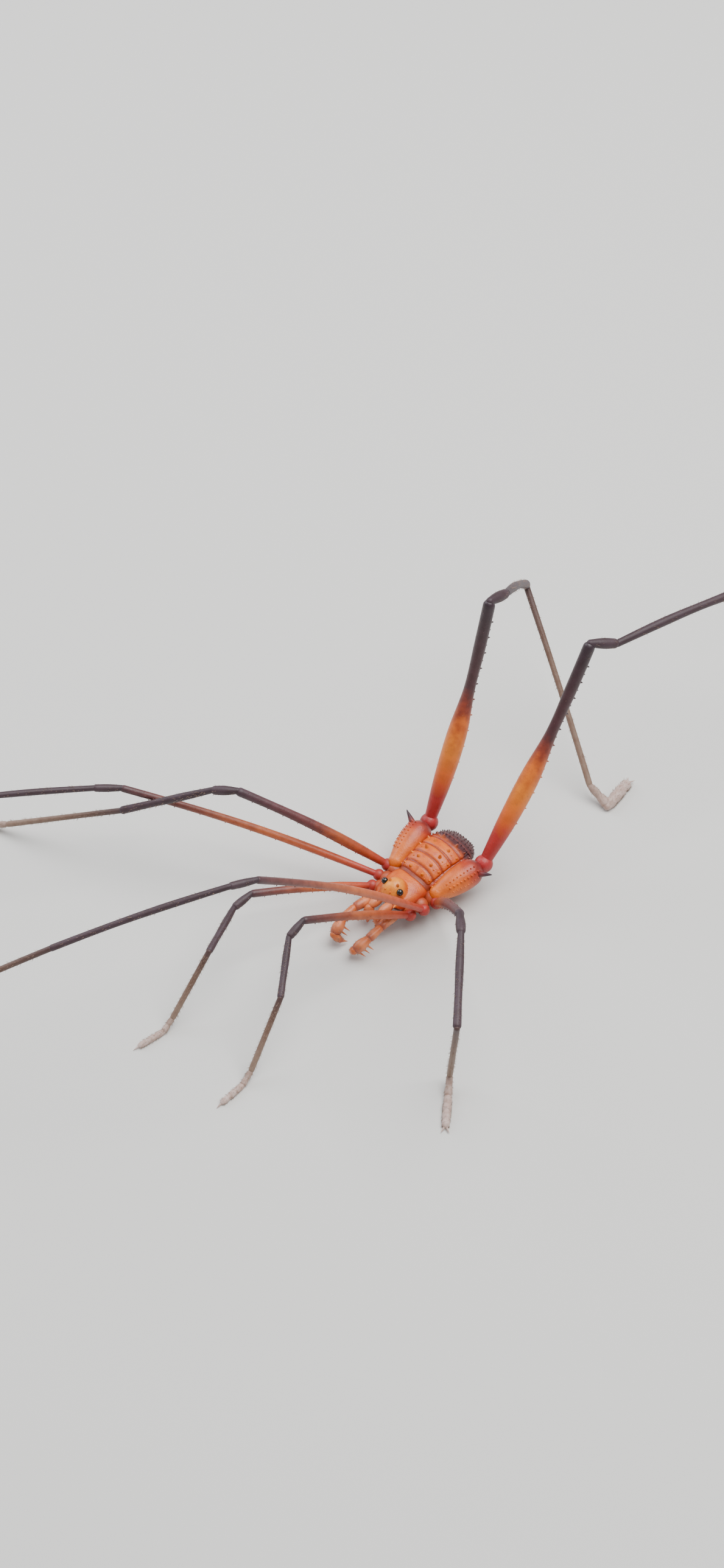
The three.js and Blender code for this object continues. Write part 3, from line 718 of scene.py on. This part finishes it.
print("scene: legs")
segments = ["femur", "patella", "tibia", "metatarsus", "heel", "sole"]
footDepth = 0.08
legSizes = {  # length, girths from root to tip, bow
    1: {"trochanter": 0.55, "ankle": 0.85, "claws": 1, "rings": (2, 3),
        "femur": (11.4, [0.3, 0.4, 0.4, 0.36, 0.36], 0.3), "patella": (2.0, [0.28, 0.38, 0.36], 0),
        "tibia": (5.8, [0.27, 0.33, 0.3, 0.32], 0), "metatarsus": (7.0, [0.26, 0.26, 0.26], 0),
        "heel": (1.4, [0.26, 0.28], 0), "sole": (2.6, [0.28, 0.3, 0.27], 0)},
    2: {"trochanter": 0.55, "ankle": 0.85, "claws": 1, "rings": (4, 6),
        "femur": (24.0, [0.3, 0.37, 0.36, 0.33, 0.34], 0.7), "patella": (2.5, [0.28, 0.36, 0.34], 0),
        "tibia": (16.0, [0.27, 0.31, 0.28, 0.3], 0.3), "metatarsus": (19.0, [0.26, 0.26, 0.25], 0.4),
        "heel": (4.0, [0.25, 0.25], 0), "sole": (5.6, [0.25, 0.25, 0.25], 0.3)},
    3: {"trochanter": 0.6, "ankle": 1.1, "claws": 2, "rings": (2, 4),
        "femur": (15.4, [0.34, 0.48, 0.46, 0.4, 0.42], 0.4), "patella": (2.3, [0.3, 0.44, 0.4], 0),
        "tibia": (9.2, [0.29, 0.37, 0.34, 0.38], 0), "metatarsus": (12.5, [0.27, 0.26, 0.28], 0),
        "heel": (1.9, [0.28, 0.36], 0), "sole": (3.2, [0.36, 0.38, 0.33], 0)},
    4: {"trochanter": 0.86, "ankle": 1.5, "claws": 2, "rings": (2, 4),
        "femur": (22.0, [0.52, 0.86, 0.9, 0.52, 0.56, 0.56], -0.9), "patella": (2.7, [0.36, 0.5, 0.44], 0),
        "tibia": (14.4, [0.34, 0.4, 0.36, 0.46], 0.3), "metatarsus": (19.6, [0.3, 0.27, 0.3], 0.3),
        "heel": (2.5, [0.32, 0.5], 0), "sole": (3.5, [0.5, 0.54, 0.46], 0)},
}
# Turn from +X and rise above the floor, in degrees. With no rise a segment reaches down to its own height.
legPoses = {
    (1, "right"): [(-116, 17), (-93, -8), (-66, 6), (-88, None), (-84, None), (-98, None)],
    (1, "left"): [(-108, 27), (-84, -12), (-52, -14), (-76, None), (-80, None), (-88, None)],
    (2, "right"): [(-147, 15), (-128, 8), (-126, 2), (-128, -12), (-130, -12), (-132, -12)],
    (2, "left"): [(-100, 44), (-110, 10), (-120, -12), (-126, -28), (-129, -34), (-131, -36)],
    (3, "right"): [(-142, 32), (-142, -6), (-140, -24), (-150, None), (-156, None), (-160, None)],
    (3, "left"): [(-36, 48), (-44, 8), (-48, -8), (140, None), (-50, None), (-50, None)],
    (4, "right"): [(103, 64.6), (97, -23), (122, -43), (-23.5, None), (3, None), (100, None)],
    (4, "left"): [(93.6, 52.4), (62, -18), (78, -5), (40, None), (36, None), (28, None)],
}


def legJoints(number, side, pose):
    sizes = legSizes[number]
    heights = {"metatarsus": sizes["ankle"]}
    for segment in ("heel", "sole"):
        heights[segment] = sizes[segment][1][-1] - footDepth
    joints = [mirrored(legHips[number], side)]
    for segment, (turn, rise) in zip(segments, pose):
        length = sizes[segment][0] + (sizes["trochanter"] if segment == "femur" else 0)
        if rise is None:
            rise = -math.degrees(math.asin((joints[-1][2] - heights[segment]) / length))
        joints.append(joints[-1] + direction(turn, rise) * length)
    return joints


def femurSpines(number, start, end, sizes):  # rows below the femur, stout on the hind legs
    length, radii, bow = sizes["femur"]
    axis, flank, dorsal = limbFrame(start, end)
    rows, size = (22, 0.3) if number == 4 else (16, 0.16)
    spots, marks = [], []
    for i in range(rows):
        share = 0.16 + i / rows * 0.78
        girth = float(smoothThrough(np.linspace(0, 1, len(radii)), radii, np.array([share]))[0])
        middle = start + (end - start) * share + dorsal * bow * math.sin(math.pi * share)
        for lean in (0.7, -0.7):
            out = unit(-dorsal + flank * lean)
            spots.append((middle + out * (girth - 0.08), out, size, size * (1.3 if i % 2 else 0.9)))
            marks.append(share)
    return scatter("femurSpines", blunt, spots, marks)


def claws(toe, along, sizes):
    _, flank, _ = limbFrame(toe, toe + along)
    spots = []
    for lean in (1, -1) if sizes["claws"] == 2 else (0,):
        out = along + flank * lean * 0.5 - np.array([0, 0, 0.2])
        spots.append((toe + along * 0.05 + flank * lean * 0.1, out, 0.2, 0.62))
    return scatter("claws", blunt, spots, [1.0] * len(spots))


femurFinishes = {1: "foreFemur", 2: "foreFemur", 3: "midFemur", 4: "femur"}
brushHairs, brushHeight = 500, 0.2
hairCounts = {"femur": (90, 0.24), "patella": (24, 0.24), "tibia": (170, 0.28), "metatarsus": (300, 0.3),
              "heel": (90, 0.24), "sole": (130, 0.24)}


# bare lists each limb's start, end, radii, bow, hair count, hair height and how many hairs its brush has
def hairCoat(name, bare):
    spots, roots = [], []
    for i, (start, end, radii, bow, count, height, brush) in enumerate(bare):
        for amount, tall, under in ((count, height, False), (brush, brushHeight, True)):
            found, places = hairSpots(start, end, radii, bow, amount, tall, under)
            spots += found
            roots.append((places * 0.9 + 0.05 + [i, 0]) / [len(bare), 1])
    piece = scatter(name, seta, spots, [0.5] * len(spots))
    bakePatches(piece, seta, np.vstack(roots))
    keepInside(piece)
    finishPiece(piece, "hair", [])


seta = spineModel("setaModel", 4, 3)
for (number, word), pose in legPoses.items():
    side = 1 if word == "left" else -1
    sizes = legSizes[number]
    joints = legJoints(number, side, pose)
    parts = {}
    for i, segment in enumerate(segments):
        start, end = joints[i], joints[i + 1]
        length, radii, bow = sizes[segment]
        ripple = dict(zip(("heel", "sole"), sizes["rings"])).get(segment, 0)
        span = {"heel": (0.0, 0.4), "sole": (0.4, 1.0)}.get(segment, (0.0, 1.0))
        rings = 64 if segment == "femur" else 48
        made = [limb(segment, start, end, radii, bow=bow, rings=rings, tip=0.12, ripple=ripple, span=span)]
        if segment == "femur":
            knob = ballPrimitive("trochanter", 24, 16)
            place(knob, coordinates(knob) * sizes["trochanter"] + start)
            mark(knob, "alongLimb", 0.02)
            made += [knob, femurSpines(number, start, end, sizes)]
        if segment == "sole":
            made.append(claws(end, unit(end - start), sizes))
        parts.setdefault("tarsus" if segment in ("heel", "sole") else segment, []).extend(made)
    for segment, made in parts.items():
        piece = joinPieces("leg%d%s%s" % (number, word.capitalize(), segment.capitalize()), made)
        keepInside(piece)
        slot = {"patella": "joint", "tibia": "joint"}.get(segment, segment)
        finish = femurFinishes[number] if segment == "femur" else slot
        finishPiece(piece, finish, ["leg%d_%s_%s" % (number, word, segment)])
    bare = []
    for i, segment in enumerate(segments):
        brush = brushHairs if segment == "sole" and sizes["claws"] == 2 else 0
        bare.append((joints[i], joints[i + 1], *sizes[segment][1:], *hairCounts[segment], brush))
    hairCoat("leg%d%sSetae" % (number, word.capitalize()), bare)
for word, side in (("Left", 1), ("Right", -1)):
    joints = [mirrored(joint, side) for joint in palpJoints]
    bows = [palpBow, 0, 0, 0]
    hairCoat("palpSetae" + word, [(joints[i], joints[i + 1], palpGirths[i], bows[i], *palpHairs)
                                  for i in range(4)])
removePiece(blunt)
removePiece(seta)

print("scene: camera, light and floor")
photoFrame = {"width": 1189, "height": 2576, "bodyX": 700, "bodyY": 1420}
viewSizes = {"turn": 45, "height": 50, "distance": 330, "pixel": 0.055, "bodyMiddle": [0, 0, 3.3]}


def setCamera():
    turn, height = math.radians(viewSizes["turn"]), math.radians(viewSizes["height"])
    right = Vector((math.cos(turn), math.sin(turn), 0))
    level = math.cos(height)
    ahead = Vector((-math.sin(turn) * level, math.cos(turn) * level, -math.sin(height)))
    above = right.cross(ahead)
    aimX = (photoFrame["bodyX"] - photoFrame["width"] / 2) * viewSizes["pixel"]
    aimY = (photoFrame["height"] / 2 - photoFrame["bodyY"]) * viewSizes["pixel"]
    middle = Vector(viewSizes["bodyMiddle"]) + Vector(bodyShift)
    where = middle - ahead * viewSizes["distance"] - right * aimX - above * aimY
    bpy.ops.object.camera_add(location=where * mm)
    camera = bpy.context.object
    camera.rotation_mode = "QUATERNION"
    camera.rotation_quaternion = ahead.to_track_quat("-Z", "Y")
    focal = viewSizes["distance"] / viewSizes["pixel"]
    camera.data.lens = focal / photoFrame["height"] * camera.data.sensor_width
    camera.data.clip_start, camera.data.clip_end = 0.01, 10
    bpy.context.scene.camera = camera


def softLight(name, at, size, power, colour):
    bpy.ops.object.light_add(type="AREA", location=[v * mm for v in at])
    lamp = bpy.context.object
    lamp.name = name
    lamp.data.size = size * mm
    lamp.data.energy = power
    lamp.data.color = linear(colour)[:3]
    lamp.rotation_mode = "QUATERNION"
    lamp.rotation_quaternion = (-Vector(at)).to_track_quat("-Z", "Y")


def paleFloor():
    clearSelection()
    bpy.ops.mesh.primitive_plane_add(size=3)
    floor = bpy.context.object
    floor.name = "floor"
    material, tree, shader = newMaterial("palePaper")
    shader.inputs["Base Color"].default_value = linear("#d9d8d4")
    shader.inputs["Roughness"].default_value = 0.9
    floor.data.materials.append(material)


setCamera()
paleFloor()
softLight("skyLight", (60, 120, 420), 380, 3.2, "#ffffff")
softLight("sideLight", (-320, -60, 220), 260, 0.9, "#f2f4ff")
world = bpy.data.worlds.new("paleWorld")
bpy.context.scene.world = world
world.use_nodes = True
world.node_tree.nodes["Background"].inputs["Color"].default_value = linear("#e4e6e8")
world.node_tree.nodes["Background"].inputs["Strength"].default_value = 0.55

print("scene: done")
